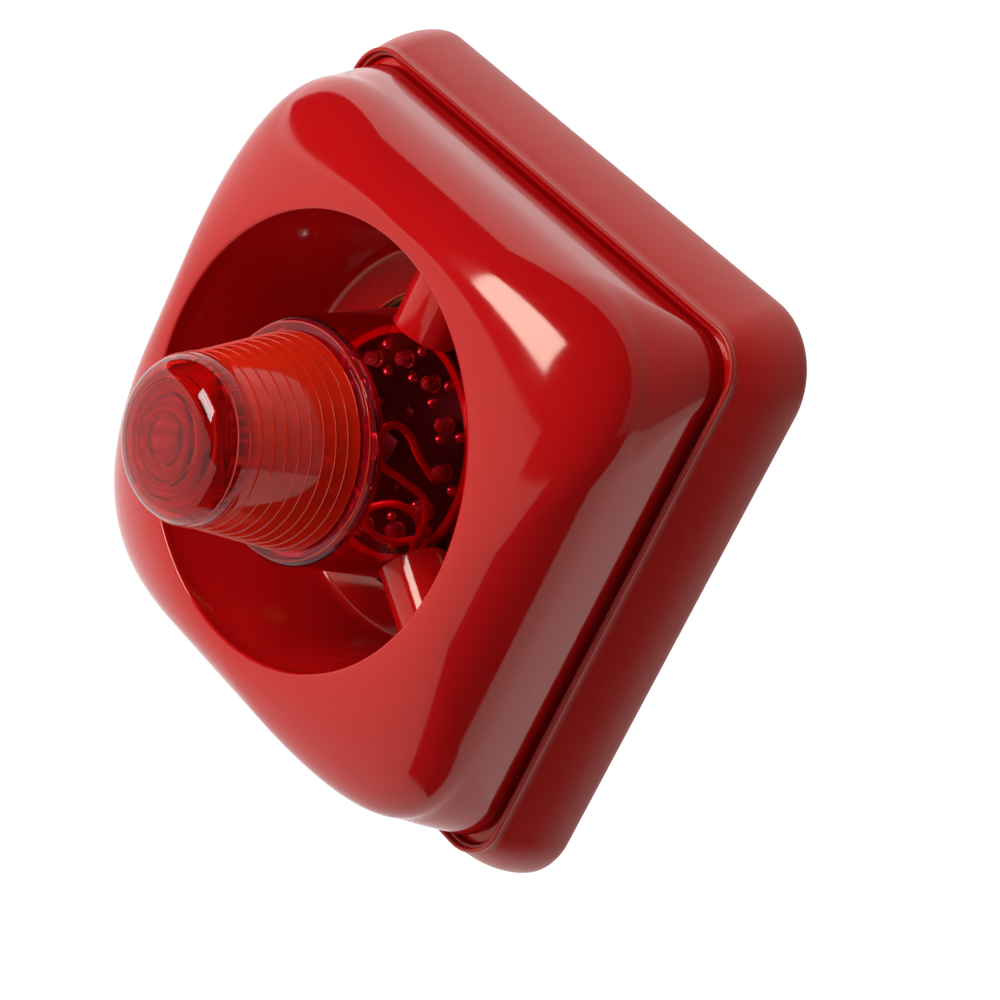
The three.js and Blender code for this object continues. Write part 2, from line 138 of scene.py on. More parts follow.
# ---------------------------------------------------------------- nodes and colours
def linear(code):
    """An sRGB hex code as the linear colour that a shader takes."""
    parts = [int(code[i:i + 2], 16) / 255 for i in (0, 2, 4)]
    return [c / 12.92 if c <= 0.04045 else ((c + 0.055) / 1.055) ** 2.4 for c in parts] + [1]


def per_metre(size_mm):
    """The scale that repeats a pattern once in this many millimetres."""
    return 1 / (size_mm * MM)


def node(tree, kind, inputs=None, **settings):
    """Adds a node, sets its properties, and fills its sockets from values or other outputs."""
    made = tree.nodes.new(kind)
    for name, value in settings.items():
        setattr(made, name, value)
    for name, value in (inputs or {}).items():
        if isinstance(value, bpy.types.NodeSocket):
            tree.links.new(value, made.inputs[name])
        else:
            made.inputs[name].default_value = value
    return made


def new_material(name, **sockets):
    """A material with one shader, whose even values are set on its own sockets."""
    material = bpy.data.materials.new(name)
    material.use_nodes = True
    tree = material.node_tree
    tree.nodes.clear()
    shader = node(tree, "ShaderNodeBsdfPrincipled")
    for socket, value in sockets.items():
        shader.inputs[socket.replace("_", " ")].default_value = value
    node(tree, "ShaderNodeOutputMaterial", {"Surface": shader.outputs["BSDF"]})
    return material, tree, shader


def dress(tree, shader, colour, rough, relief=None, stops=(0.3, 0.7)):
    """Gives a material its changes of colour, roughness and height.

    Each starts with its pattern: (size in mm, detail) for noise, or another node's output. colour
    then has the hex colours at the two stops of the pattern, rough its values a quarter and three
    quarters of the way up, and relief its depth in mm and its strength.
    """
    place = node(tree, "ShaderNodeTexCoord").outputs["Object"]
    patterns = []
    for part in filter(None, (colour, rough, relief)):
        pattern = part[0]
        if isinstance(pattern, tuple):
            pattern = node(tree, "ShaderNodeTexNoise", {
                "Vector": place, "Scale": per_metre(pattern[0]), "Detail": pattern[1]}).outputs["Fac"]
        patterns.append(pattern)
    ramp = node(tree, "ShaderNodeValToRGB", {"Fac": patterns[0]})
    for element, position, code in zip(ramp.color_ramp.elements, stops, colour[1:]):
        element.position = position
        element.color = linear(code)
    spread = node(tree, "ShaderNodeMapRange", {
        "Value": patterns[1], "From Min": 0.25, "From Max": 0.75, "To Min": rough[1], "To Max": rough[2]})
    tree.links.new(ramp.outputs["Color"], shader.inputs["Base Color"])
    tree.links.new(spread.outputs["Result"], shader.inputs["Roughness"])
    if relief:
        bump = node(tree, "ShaderNodeBump", {
            "Height": patterns[2], "Distance": relief[1] * MM, "Strength": relief[2]})
        tree.links.new(bump.outputs["Normal"], shader.inputs["Normal"])


def along_depth(tree, *ranges):
    """A value for each (depth, depth, low, high) that goes from low to high between the depths."""
    place = node(tree, "ShaderNodeTexCoord").outputs["Object"]
    y = node(tree, "ShaderNodeSeparateXYZ", {"Vector": place}).outputs["Y"]
    values = []
    for start, end, low, high in ranges:
        spread = {"Value": y, "From Min": -start * MM, "From Max": -end * MM, "To Min": low, "To Max": high}
        values.append(node(tree, "ShaderNodeMapRange", spread).outputs["Result"])
    return values


# ---------------------------------------------------------------- materials
PAINTED_WARM_LIGHT = linear("FFF4E0")     # painted light: the studio light's warm tint, painted into the reflections of the red ABS
CLEAR_ROUGH = ((6, 5), 0.01, 0.04)
CLEAR_RELIEF = ((3, 1), 0.008, 0.3)


def polished_abs():
    """ABS moulded against a polished tool: deep even red under a hard gloss that ripples faintly."""
    # the gloss's reflections carry a painted warm tint that stands for the warm studio light
    material, tree, shader = new_material("polished_red_abs", IOR=1.45, Specular_Tint=PAINTED_WARM_LIGHT)
    dress(tree, shader, ((38, 2), "B40A0E", "B80D11"), ((9, 6), 0.07, 0.13), ((5, 1), 0.012, 0.35))
    return material


def satin_abs():
    """The same ABS from a fine spark-eroded tool: a soft sheen over a grain of a third of a millimetre."""
    # the sheen's reflections carry a painted warm tint that stands for the warm studio light
    material, tree, shader = new_material("satin_red_abs", IOR=1.5, Specular_Tint=PAINTED_WARM_LIGHT)
    dress(tree, shader, ((30, 2), "AC0E0D", "B21211"), ((2.5, 5), 0.3, 0.4), ((0.35, 2), 0.02, 0.5))
    return material


def clear_polycarbonate(name, dark, light, clear):
    """Polycarbonate tinted red right through. Where it is less clear, it glows as light spreads in it."""
    material, tree, shader = new_material(name, IOR=1.5, Transmission_Weight=clear)
    dress(tree, shader, ((20, 2), dark, light), CLEAR_ROUGH, CLEAR_RELIEF)
    return material


def tube_polycarbonate():
    """Clear red polycarbonate. Its mouth is a little hazy, and painted darker to stand for how a thick edge
    looks: painted shade.
    """
    material, tree, shader = new_material("clear_red_polycarbonate", IOR=1.38)
    # mouth: where the colour turns to the darker red that is painted shade
    mouth, clear = along_depth(
        tree, (HAZE_START, HAZE_FULL, 0, 1), (HAZE_START, HAZE_FULL, 1, 0.6))
    tree.links.new(clear, shader.inputs["Transmission Weight"])
    dress(tree, shader, (mouth, "E63A4A", "B0081A"), CLEAR_ROUGH, CLEAR_RELIEF, stops=(0, 1))
    return material


def glowing_lens():
    """The lens's polycarbonate: clear at its ringed front, and milky with spread light behind that. Its
    darker red front is painted shade, and the lighter red behind it painted light.
    """
    material, tree, shader = new_material("lens_red_polycarbonate", IOR=1.4)
    # front: painted shade, a darker red towards the lens's front, and painted light, a lighter red behind it
    front, clear = along_depth(
        tree, (MILKY_END, CLEAR_START, 0, 1), (CLEAR_START, MILKY_END, 0.93, 0.46))
    tree.links.new(clear, shader.inputs["Transmission Weight"])
    dress(tree, shader, (front, "FF3418", "C4180E"), CLEAR_ROUGH, CLEAR_RELIEF, stops=(0, 1))
    return material


def lamp_epoxy():
    """Cast epoxy round a lamp's chip: glass-like and a trace milky, with hardly a tint of its own."""
    material, tree, shader = new_material("clear_epoxy", IOR=1.52, Transmission_Weight=0.9)
    dress(tree, shader, ((2, 2), "FFE6D8", "FFF2E8"), ((1, 4), 0.02, 0.08))
    return material


def rubber():
    """Moulded nitrile rubber: dull, with a powdery bloom in patches."""
    material, tree, shader = new_material("nitrile_rubber", IOR=1.52)
    dress(tree, shader, ((4, 5), "1C0C0D", "2A1314"), ((1.5, 4), 0.6, 0.8), ((0.5, 3), 0.03, 0.5),
          stops=(0.3, 0.75))
    return material


def moulded(name, dark, light, rough=0.4, grain_mm=0.4):
    """A small moulding in nylon or polyester: even colour and a fine matt grain."""
    material, tree, shader = new_material(name, IOR=1.53)
    dress(tree, shader, ((5, 4), dark, light), ((1.2, 4), rough - 0.06, rough + 0.08),
          ((grain_mm, 2), 0.015, 0.4))
    return material


def board_laminate(name, dark, light, sheen=0.5):
    """Glass-cloth laminate under solder mask: the weave shows as a faint grid of 0.6 mm threads."""
    material, tree, shader = new_material(name, IOR=1.5, Specular_IOR_Level=sheen)
    place = node(tree, "ShaderNodeTexCoord").outputs["Object"]
    threads = {"Vector": place, "Scale": per_metre(0.6) / TURN * 2}
    warp, weft = [node(tree, "ShaderNodeTexWave", threads, bands_direction=way).outputs["Fac"]
                  for way in "XZ"]
    cloth = node(tree, "ShaderNodeMath", {0: warp, 1: weft}, operation="ADD").outputs["Value"]
    dress(tree, shader, ((8, 5), dark, light), ((3, 4), 0.34, 0.46), (cloth, 0.01, 0.25))
    return material


def metal(name, dark, light, rough, streak_mm=0.3):
    """Plated or rolled metal: bright, with fine drawn streaks."""
    material, tree, shader = new_material(name, Metallic=1.0)
    place = node(tree, "ShaderNodeTexCoord").outputs["Object"]
    stretched = node(tree, "ShaderNodeMapping", {"Vector": place, "Scale": (1, 0.12, 1)}).outputs["Vector"]
    streaks = node(tree, "ShaderNodeTexNoise", {
        "Vector": stretched, "Scale": per_metre(streak_mm), "Detail": 4}).outputs["Fac"]
    dress(tree, shader, (streaks, dark, light), (streaks, rough - 0.06, rough + 0.1), (streaks, 0.006, 0.3))
    return material


def lead_jacket():
    """Extruded PVC: soft gloss, slightly uneven along its length."""
    material, tree, shader = new_material("red_pvc_jacket", IOR=1.54)
    dress(tree, shader, ((6, 3), "E01828", "E8202E"), ((2, 4), 0.22, 0.34), ((1.2, 2), 0.02, 0.3))
    return material


def fired_ceramic():
    """Silvered piezo ceramic: chalky white with a burnished bloom."""
    material, tree, shader = new_material("silvered_ceramic", IOR=1.6, Metallic=0.4)
    dress(tree, shader, ((3, 5), "D8D3C6", "E9E6DC"), ((1, 5), 0.4, 0.55), ((0.4, 3), 0.01, 0.4))
    return material


def enamelled_wire():
    """Copper wire in a close winding: ridges a third of a millimetre apart round the coil, with painted
    shade in the grooves between them.
    """
    material, tree, shader = new_material("enamelled_copper", Metallic=0.85)
    place = node(tree, "ShaderNodeTexCoord").outputs["Object"]
    turns = node(tree, "ShaderNodeTexWave", {
        "Vector": place, "Scale": per_metre(0.34) / TURN * 2}, bands_direction="Y").outputs["Fac"]
    # the dark colour in the grooves between the ridges is painted shade
    dress(tree, shader, (turns, "5A2410", "B4652E"), ((1, 4), 0.25, 0.35), (turns, 0.12, 0.8),
          stops=(0.1, 0.6))
    return material


def pale_floor():
    """Backlit white acrylic: near white, with the least mottling."""
    material, tree, shader = new_material(
        "pale_floor", IOR=1.45, Emission_Color=linear("FFFFFF"), Emission_Strength=0.3)
    dress(tree, shader, ((400, 2), "E9E8E7", "EDEDED"), ((60, 4), 0.75, 0.85))
    return material


GLOSS = polished_abs()
SATIN = satin_abs()
CLEAR = tube_polycarbonate()
LENS_RED = glowing_lens()
SILICONE = clear_polycarbonate("red_silicone", "D82030", "E02838", 0.95)
RIB_RED = clear_polycarbonate("rib_red_polycarbonate", "F03214", "F83C1A", 0.55)
EPOXY = lamp_epoxy()
RUBBER = rubber()
BLACK = moulded("black_nylon", "0D0C0E", "17161A")
GREEN = moulded("green_polyamide", "1E6A3A", "267A45")
BLUE = moulded("blue_polyester", "1D4C8C", "24599C")
WHITE = moulded("white_polyamide", "DAD7CC", "ECEAE2", 0.45)
SLEEVE = moulded("shrunk_sleeve", "121219", "1C1C26", 0.2)
CHIP = moulded("black_epoxy", "111113", "1B1B1E", 0.5, 0.2)
GREEN_BOARD = board_laminate("green_laminate", "0C3B22", "12492B")
BLACK_BOARD = board_laminate("black_laminate", "020203", "050506", 0.12)
ZINC = metal("zinc_plated_steel", "A9ABAF", "D0D2D4", 0.28)
BRASS = metal("rolled_brass", "B08A3C", "CDAA5C", 0.28)
SOLDER = metal("bright_solder", "B9BBC0", "E4E5E8", 0.22, 0.6)
JACKET = lead_jacket()
CERAMIC = fired_ceramic()
COPPER = enamelled_wire()


# ---------------------------------------------------------------- building pieces
def piece(name, bm, body, finish, stands_for=()):
    """Makes a shown object of the mesh, smooth but for its sharp edges."""
    mesh = bpy.data.meshes.new(name)
    bm.to_mesh(mesh)
    bm.free()
    mesh.materials.append(finish)
    mesh.shade_smooth()
    mesh.set_sharp_from_angle(angle=math.radians(CREASE))
    made = bpy.data.objects.new(name, mesh)
    bpy.context.scene.collection.objects.link(made)
    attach(made, body)
    if stands_for:
        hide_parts(*stands_for)
    return made


def settle(bm):
    """Merges doubled corners and turns every face outwards."""
    bmesh.ops.remove_doubles(bm, verts=bm.verts, dist=0.002 * MM)
    bmesh.ops.recalc_face_normals(bm, faces=bm.faces)


def arc(centre_r, centre_depth, radius, start, end, steps=6):
    """Profile points round part of a circle. Zero degrees points outwards, 90 to the front."""
    points = []
    for i in range(steps + 1):
        angle = math.radians(start + (end - start) * i / steps)
        points.append((centre_r + radius * math.cos(angle), centre_depth + radius * math.sin(angle)))
    return points


def spun(bm, profile, steps=FINE, at=(0, 0)):
    """Turns (radius, depth) points about the depth axis through at, which is (x, z).

    A profile that doesn't start on the axis is closed on itself, and so makes a ring.
    """
    corners = [bm.verts.new((r * MM, -depth * MM, 0)) for r, depth in profile]
    if profile[0][0] > 0:
        corners.append(corners[0])
    edges = [bm.edges.new(pair) for pair in zip(corners, corners[1:])]
    made = bmesh.ops.spin(bm, geom=list(dict.fromkeys(corners)) + edges, cent=(0, 0, 0), axis=(0, 1, 0),
                          angle=TURN, steps=steps, use_merge=True)
    last = [item for item in made["geom_last"] if isinstance(item, bmesh.types.BMVert)]
    bmesh.ops.translate(bm, verts=connected(corners + last), vec=(at[0] * MM, 0, at[1] * MM))


def connected(start):
    """Every corner that can be reached from these along edges."""
    seen = set(start)
    waiting = list(start)
    while waiting:
        corner = waiting.pop()
        for link in corner.link_edges:
            other = link.other_vert(corner)
            if other not in seen:
                seen.add(other)
                waiting.append(other)
    return list(seen)


def turned(name, profile, body, finish, stands_for=(), steps=FINE, at=(0, 0)):
    """Makes a piece of one turned profile."""
    bm = bmesh.new()
    spun(bm, profile, steps, at)
    settle(bm)
    return piece(name, bm, body, finish, stands_for)


def brick(bm, size, centre, rounding=0.2, segments=2):
    """A block with rounded edges. size is width, depth and height, centre is (x, depth, z)."""
    corners = bmesh.ops.create_cube(bm, size=MM)["verts"]
    bmesh.ops.scale(bm, vec=size, verts=corners)
    bmesh.ops.translate(bm, vec=(centre[0] * MM, -centre[1] * MM, centre[2] * MM), verts=corners)
    if rounding:
        edges = list({edge for corner in corners for edge in corner.link_edges})
        bmesh.ops.bevel(bm, geom=edges, offset=rounding * MM, segments=segments, profile=0.5,
                        affect="EDGES", material=-1)


def shape_outline(ring, half, corner, depth, ease=0.0):
    """Lays a ring out as a square with round corners. A corner equal to the half makes a circle.

    With ease, the sides run into the corners without a break in curvature, and the corners reach
    as far as the round ones do.
    """
    power = 2 + ease
    corner *= (math.sqrt(2) - 1) / (math.sqrt(2) * (1 - 2 ** (-1 / power)))
    offset = half - corner
    for i, vert in enumerate(ring):
        angle = TURN * (i + 0.5) / RING
        c, s = math.cos(angle), math.sin(angle)
        x = math.copysign(offset + corner * abs(c) ** (2 / power), c)
        z = math.copysign(offset + corner * abs(s) ** (2 / power), s)
        vert.co = (x * MM, -depth * MM, z * MM)


def ring_edges(ring):
    """The edges that run round a ring of corners."""
    members = set(ring)
    return list({edge for vert in ring for edge in vert.link_edges if edge.other_vert(vert) in members})


def lofted(bm, sections, looped=False):
    """Extrudes a ring through (half, corner, depth) sections. Looped, the last one joins the first."""
    first = bmesh.ops.create_circle(bm, segments=RING, radius=1)["verts"]
    shape_outline(first, *sections[0])
    ring = first
    for section in sections[1:] + sections[:1] * looped:
        made = bmesh.ops.extrude_edge_only(bm, edges=ring_edges(ring))["geom"]
        fresh = {item for item in made if isinstance(item, bmesh.types.BMVert)}
        ring = [next(edge.other_vert(vert) for edge in vert.link_edges if edge.other_vert(vert) in fresh)
                for vert in ring]
        shape_outline(ring, *section)
    if not looped:
        for end in (first, ring):
            bmesh.ops.contextual_create(bm, geom=ring_edges(end))


def cut_out(target, *cutters):
    """Cuts the cutters from the target, and removes them."""
    for tool in cutters:
        cut = target.modifiers.new("cut", "BOOLEAN")
        cut.operation = "DIFFERENCE"
        cut.solver = "EXACT"
        cut.object = tool
    shown = bpy.context.evaluated_depsgraph_get()
    mesh = bpy.data.meshes.new_from_object(target.evaluated_get(shown))
    target.modifiers.clear()
    target.data = mesh
    mesh.shade_smooth()
    mesh.set_sharp_from_angle(angle=math.radians(CREASE))
    for tool in cutters:
        bpy.data.objects.remove(tool)


def cutter(bm):
    """A bare object that only cuts."""
    settle(bm)
    mesh = bpy.data.meshes.new("cutter")
    bm.to_mesh(mesh)
    bm.free()
    made = bpy.data.objects.new("cutter", mesh)
    bpy.context.scene.collection.objects.link(made)
    return made


def rod_profile(r, rear, front):
    """The profile of a plain rod."""
    return [(0, rear), (r, rear), (r, front), (0, front)]


def on_circle(r, angle):
    """The x and z of a point on a circle round the lamp's axis."""
    return r * math.cos(math.radians(angle)), r * math.sin(math.radians(angle))


# ---------------------------------------------------------------- back box
COVER_SCREWS = [f"cover_screw_{i}" for i in (1, 2)]
BOARD_SCREWS = [f"board_screw_{i}" for i in range(1, 5)]


def side_sections():
    """The flared side, from a small radius on the wall to the bead, in one convex sweep."""
    centre_at_wall = BOX_HALF - BOX_CORNER
    centre_at_lip = LIP_HALF - LIP_CORNER
    bead_foot = BOX_DEPTH - 1.3
    profile = [(BOX_HALF - 0.5, 0), (BOX_HALF - 0.15, 0.12), (BOX_HALF, 0.5)]
    steps = 14
    for i in range(1, steps + 1):
        s = i / steps
        profile.append((LIP_HALF + (BOX_HALF - LIP_HALF) * (1 - s ** 1.6), 0.5 + s * (bead_foot - 0.5)))
    sections = []
    for half, depth in profile:
        centre = centre_at_wall + (centre_at_lip - centre_at_wall) * depth / BOX_DEPTH
        sections.append((half, half - centre, depth))
    return sections


def wall_box():
    """The back box: flared side, bead, shelf and well, with its wall holes and its cable hole."""
    centre = LIP_HALF - LIP_CORNER
    bead = [(half, half - centre, depth)
            for half, depth in arc(LIP_HALF - BEAD_R, BOX_DEPTH - BEAD_R, BEAD_R, 0, 180, 10)]
    inner = [
        (LIP_HALF - 1.05, LIP_HALF - 1.05 - centre, BOX_DEPTH - 1.1),
        (BOX_INNER + 0.1, 8.1, BOX_DEPTH - 1.25), (BOX_INNER, 8, BOX_DEPTH - 1.4),
        (BOX_INNER, 8, SHELF_DEPTH + 0.4), (BOX_INNER - 0.4, 7.6, SHELF_DEPTH),
        (WELL_HALF + 0.3, 4.3, SHELF_DEPTH), (WELL_HALF, 4, SHELF_DEPTH - 0.3),
        (WELL_HALF, 4, BOX_FLOOR + 0.6), (WELL_HALF - 0.6, 3.4, BOX_FLOOR),
    ]
    bm = bmesh.new()
    lofted(bm, side_sections() + bead + inner)
    settle(bm)
    box = piece("wall_box", bm, "base", SATIN, ["back_box"])
    bm = bmesh.new()
    for sx in (1, -1):
        for sz in (1, -1):
            spun(bm, rod_profile(WALL_HOLE_R, -1, 4), 24, (WALL_HOLE_AT * sx, WALL_HOLE_AT * sz))
    spun(bm, rod_profile(CABLE_HOLE_R, -1, 4), 48, spot("cable_grommet"))
    cut_out(box, cutter(bm))


def posts(name, screws, profile):
    """One piece of equal hollow posts on the box's floor, one behind each screw."""
    bm = bmesh.new()
    for screw in screws:
        spun(bm, profile, 32, spot(screw))
    settle(bm)
    piece(name, bm, "base", SATIN)


def screw_posts():
    """The posts that take the cover screws."""
    foot = BOX_FLOOR + 0.1
    posts("screw_posts", COVER_SCREWS, [
        (COVER_BORE_R, foot), (3.9, foot), (3.4, foot + 1.1), (3.3, POST_TOP - 0.3), (3.0, POST_TOP),
        (2.2, POST_TOP), (COVER_BORE_R, POST_TOP - 0.3)])


def board_standoffs():
    """The posts that the main board stands on."""
    foot, top = BOX_FLOOR + 0.1, BOARD_REAR - 0.3
    posts("board_standoffs", BOARD_SCREWS, [
        (1.3, foot), (3.5, foot), (3, foot + 0.6), (3, top), (1.3, top)])


def gate_nub():
    """The nub left where the plastic entered the mould, on the bead's top side."""
    bm = bmesh.new()
    bmesh.ops.create_uvsphere(bm, u_segments=16, v_segments=10, radius=0.45 * MM)
    bmesh.ops.scale(bm, vec=(1.6, 1, 0.8), verts=bm.verts)
    bmesh.ops.translate(bm, vec=(0, -(BOX_DEPTH - 0.5) * MM, (LIP_HALF - 0.45) * MM), verts=bm.verts)
    piece("gate_nub", bm, "base", SATIN)


def square_gasket():
    """The square ring of rubber on the box's shelf."""
    half, rear, front = reach("box_gasket")
    sections = [(half, 10, rear), (half, 10, front - 0.3), (half - 0.3, 9.7, front),
                (half - 1.7, 8.3, front), (half - 2, 8, front - 0.3), (half - 2, 8, rear)]
    bm = bmesh.new()
    lofted(bm, sections, looped=True)
    settle(bm)
    piece("lip_gasket", bm, "base", RUBBER, ["box_gasket"])


# ---------------------------------------------------------------- cap, horn and struts
def horn_radius(depth):
    """The radius inside the horn, which opens faster and faster towards the mouth."""
    s = (depth - THROAT_DEPTH) / (MOUTH_DEPTH - THROAT_DEPTH)
    return THROAT_R + (MOUTH_R - THROAT_R) * s ** 1.5


def shoulder(inset, steps, last=1.0):
    """A quarter of an ellipse from the brow to the mouth, while the corners grow to the mouth's circle."""
    run = CAP_HALF - MOUTH_R
    rise = MOUTH_DEPTH - BROW_DEPTH
    sections = []
    for i in range(steps + 1):
        angle = math.pi / 2 * last * i / steps
        across = math.cos(angle)
        half = MOUTH_R + (run - inset) * across
        corner = MOUTH_R - (MOUTH_R - BROW_CORNER) * across ** 2.13 - inset * across
        depth = BROW_DEPTH + (rise - inset) * math.sin(angle)
        sections.append((half, min(half, corner), depth, EASE * across))
    return sections


def horn_cap():
    """The cap and horn in one shell: collar, skirt, shoulder, rim, horn, throat, and the inside."""
    # the collar fills the groove, clear of the lip by a fifth of a millimetre
    collar_half = BOX_INNER - 0.2
    collar = [(collar_half - 0.2, 7.7, CAP_REAR), (collar_half, 7.9, CAP_REAR + 0.2),
              (collar_half, 7.9, 13.3), (collar_half - 0.2, 7.9, 13.5), (CAP_REAR_HALF + 0.1, 10.3, 13.7)]
    skirt = []
    steps = 8
    for i in range(steps):
        s = i / steps
        depth = SKIRT_START + (BROW_DEPTH - SKIRT_START) * s
        half = CAP_REAR_HALF + 0.2 + (CAP_HALF - CAP_REAR_HALF - 0.2) * math.sin(s * math.pi / 2)
        skirt.append((half, CAP_REAR_CORNER + (BROW_CORNER - CAP_REAR_CORNER) * s, depth, EASE * s))
    rim = [(r, r, depth) for r, depth in arc(MOUTH_R, MOUTH_DEPTH - RIM_R, RIM_R, 80, 180, 6)]
    flare = []
    start, end = MOUTH_DEPTH - 1.2, THROAT_DEPTH + 2
    steps = 16
    for i in range(1, steps + 1):
        depth = start + (end - start) * i / steps
        flare.append((horn_radius(depth) - 0.02, horn_radius(depth) - 0.02, depth))
    fillet = [(r, r, depth) for r, depth in arc(THROAT_R - 1.8, THROAT_DEPTH + 1.8, 1.8, 0, -90, 8)]
    behind = THROAT_DEPTH - 2.1
    slot = [(r, r, depth) for r, depth in [
        (THROAT_SLOT_R + 0.5, THROAT_DEPTH), (THROAT_SLOT_R + 0.15, THROAT_DEPTH - 0.15),
        (THROAT_SLOT_R, THROAT_DEPTH - 0.5), (THROAT_SLOT_R, behind), (THROAT_R + 0.6, behind),
    ] + [(horn_radius(depth) + HORN_WALL, depth) for depth in (16, 31, 44)]]
    inside = shoulder(CAP_WALL, 10, 0.74)[::-1]
    hem = [(CAP_REAR_HALF - CAP_WALL, CAP_REAR_CORNER - CAP_WALL, CAP_REAR)]
    bm = bmesh.new()
    lofted(bm, collar + skirt + shoulder(0, 30, 0.985) + rim + flare + fillet + slot + inside + hem,
           looped=True)
    settle(bm)
    cap = piece("horn_cap", bm, "head", GLOSS, ["front_cap"])
    bm = bmesh.new()
    for name in COVER_SCREWS:
        spun(bm, rod_profile(COVER_BORE_R, 10, 16), 24, spot(name))
    cut_out(cap, cutter(bm))
    even = cap.modifiers.new("even_normals", "WEIGHTED_NORMAL")
    even.keep_sharp = True


def tube_radius(depth):
    """The outer radius of the lamp's tube, a long cone."""
    s = (depth - TUBE_REAR) / (TUBE_FRONT - TUBE_REAR)
    return TUBE_REAR_R + (TUBE_FRONT_R - TUBE_REAR_R) * s


def aim_along_strut(bm, angle):
    """Turns what was made along the depth axis to point outwards, and moves it to the struts' depth."""
    for degrees, axis in ((-90, "X"), (90 - angle, "Y")):
        turn = Matrix.Rotation(math.radians(degrees), 3, axis)
        bmesh.ops.rotate(bm, verts=bm.verts, cent=(0, 0, 0), matrix=turn)
    bmesh.ops.translate(bm, verts=bm.verts, vec=(0, -STRUT_DEPTH * MM, 0))


def struts():
    """Three round posts across the horn. Each is cut to the tube's cone and blends into the horn."""
    root_r = STRUT_R + STRUT_FILLET
    outer = horn_radius(STRUT_DEPTH) + 0.9
    foot = horn_radius(STRUT_DEPTH) - 1.6
    profile = [(0, 20), (STRUT_R, 20), (STRUT_R, foot)]
    profile += [(STRUT_R + STRUT_FILLET * (1 - math.cos(t)), foot + 1.6 * math.sin(t))
                for t in (0.3, 0.6, 0.9, 1.2, 1.5)]
    profile += [(root_r, outer), (0, outer)]
    for number, angle in enumerate(STRUT_ANGLES, 1):
        bm = bmesh.new()
        spun(bm, profile, 64)
        settle(bm)
        aim_along_strut(bm, angle)
        post = piece(f"strut_{number}", bm, "head", GLOSS)
        bm = bmesh.new()
        spun(bm, [(0, 15), (tube_radius(15) + 0.25, 15), (tube_radius(50) + 0.25, 50), (0, 50)])
        cut_out(post, cutter(bm))


# ---------------------------------------------------------------- lamp
def lamp_tube():
    """The tube, and at its front the lens's flange, pressed on so tightly that no gap shows."""
    front_r = TUBE_FRONT_R
    profile = [(TUBE_REAR_R, TUBE_REAR), (front_r + 0.1, TUBE_FRONT - 1)]
    profile += arc(front_r - 1.1, TUBE_FRONT - 0.6, 1.15, 8, 50, 5)
    profile += [
        (FLANGE_R - 0.1, FLANGE_DEPTH - 0.1), (FLANGE_R - 0.4, FLANGE_DEPTH),
        (RIB_ROOT_R, FLANGE_DEPTH + 0.05), (RIB_ROOT_R - 1.6, FLANGE_DEPTH - 0.3),
        (RIB_ROOT_R - 1.7, FLANGE_DEPTH - 1), (front_r - TUBE_WALL, TUBE_FRONT - 2),
        (TUBE_REAR_R - TUBE_WALL, TUBE_REAR),
    ]
    tube = turned("lamp_tube", profile, "head", CLEAR, ["beacon_tube"])
    bm = bmesh.new()
    spun(bm, rod_profile(LEAD_BORE_R, 18, 35), 32)
    aim_along_strut(bm, STRUT_ANGLES[-1])
    cut_out(tube, cutter(bm))


def lens_radius(depth):
    """The lens's outer radius: a cone, then the rounded shoulder."""
    foot = FLANGE_DEPTH + 0.9
    if depth < CROWN_START:
        return RIB_ROOT_R + (CROWN_R - RIB_ROOT_R) * (depth - foot) / (CROWN_START - foot)
    rise = ((depth - CROWN_START) / (LENS_TIP - CROWN_START)) ** 1.25
    return CROWN_R * (1 - rise ** 2) ** 0.25


def crown(r, rear, tip, steps):
    """The rounded shoulder and slightly domed front of the lens, from its side to its tip."""
    points = []
    for i in range(steps + 1):
        angle = math.pi / 2 * i / steps
        points.append((r * math.cos(angle) ** 0.5, rear + (tip - rear) * math.sin(angle) ** 0.8))
    points[-1] = (0, tip)
    return points


def lamp_lens():
    """The lens: smooth outside, with rings inside its front and soft lobes inside its wall."""
    flange = FLANGE_DEPTH
    outside = crown(CROWN_R, CROWN_START, LENS_TIP, 22)[::-1]
    foot = [(RIB_ROOT_R, flange + 0.9), (RIB_ROOT_R - 0.6, flange + 0.45), (RIB_ROOT_R - 2.2, flange + 0.45),
            (RIB_ROOT_R - 2.3, flange + 0.9)]
    ringed = []
    for r, depth in crown(CROWN_R - LENS_WALL, CROWN_START - 0.5, LENS_TIP - LENS_WALL, 60):
        ridge = sum(math.exp(-((r - ring_r) / 0.55) ** 2) for ring_r in (1.6, 4.6, 8.3, 11.6))
        ringed.append((r, depth - 0.55 * ridge))
    bm = bmesh.new()
    spun(bm, outside + foot + ringed)
    settle(bm)
    # the lobes break up the light
    for vert in bm.verts:
        depth = -vert.co.y / MM
        r = math.hypot(vert.co.x, vert.co.z) / MM
        wall = RIB_ROOT_R + (TIP_R - RIB_ROOT_R) * (depth - flange) / (RIB_END - flange)
        if flange + 0.5 < depth < RIB_END - 1 and 0.5 < wall - r < 3:
            lobe = 0.3 * math.sin(20 * math.atan2(vert.co.z, vert.co.x)) / r
            vert.co.x *= 1 - lobe
            vert.co.z *= 1 - lobe
    piece("lamp_lens", bm, "head", LENS_RED, ["beacon_lens"])


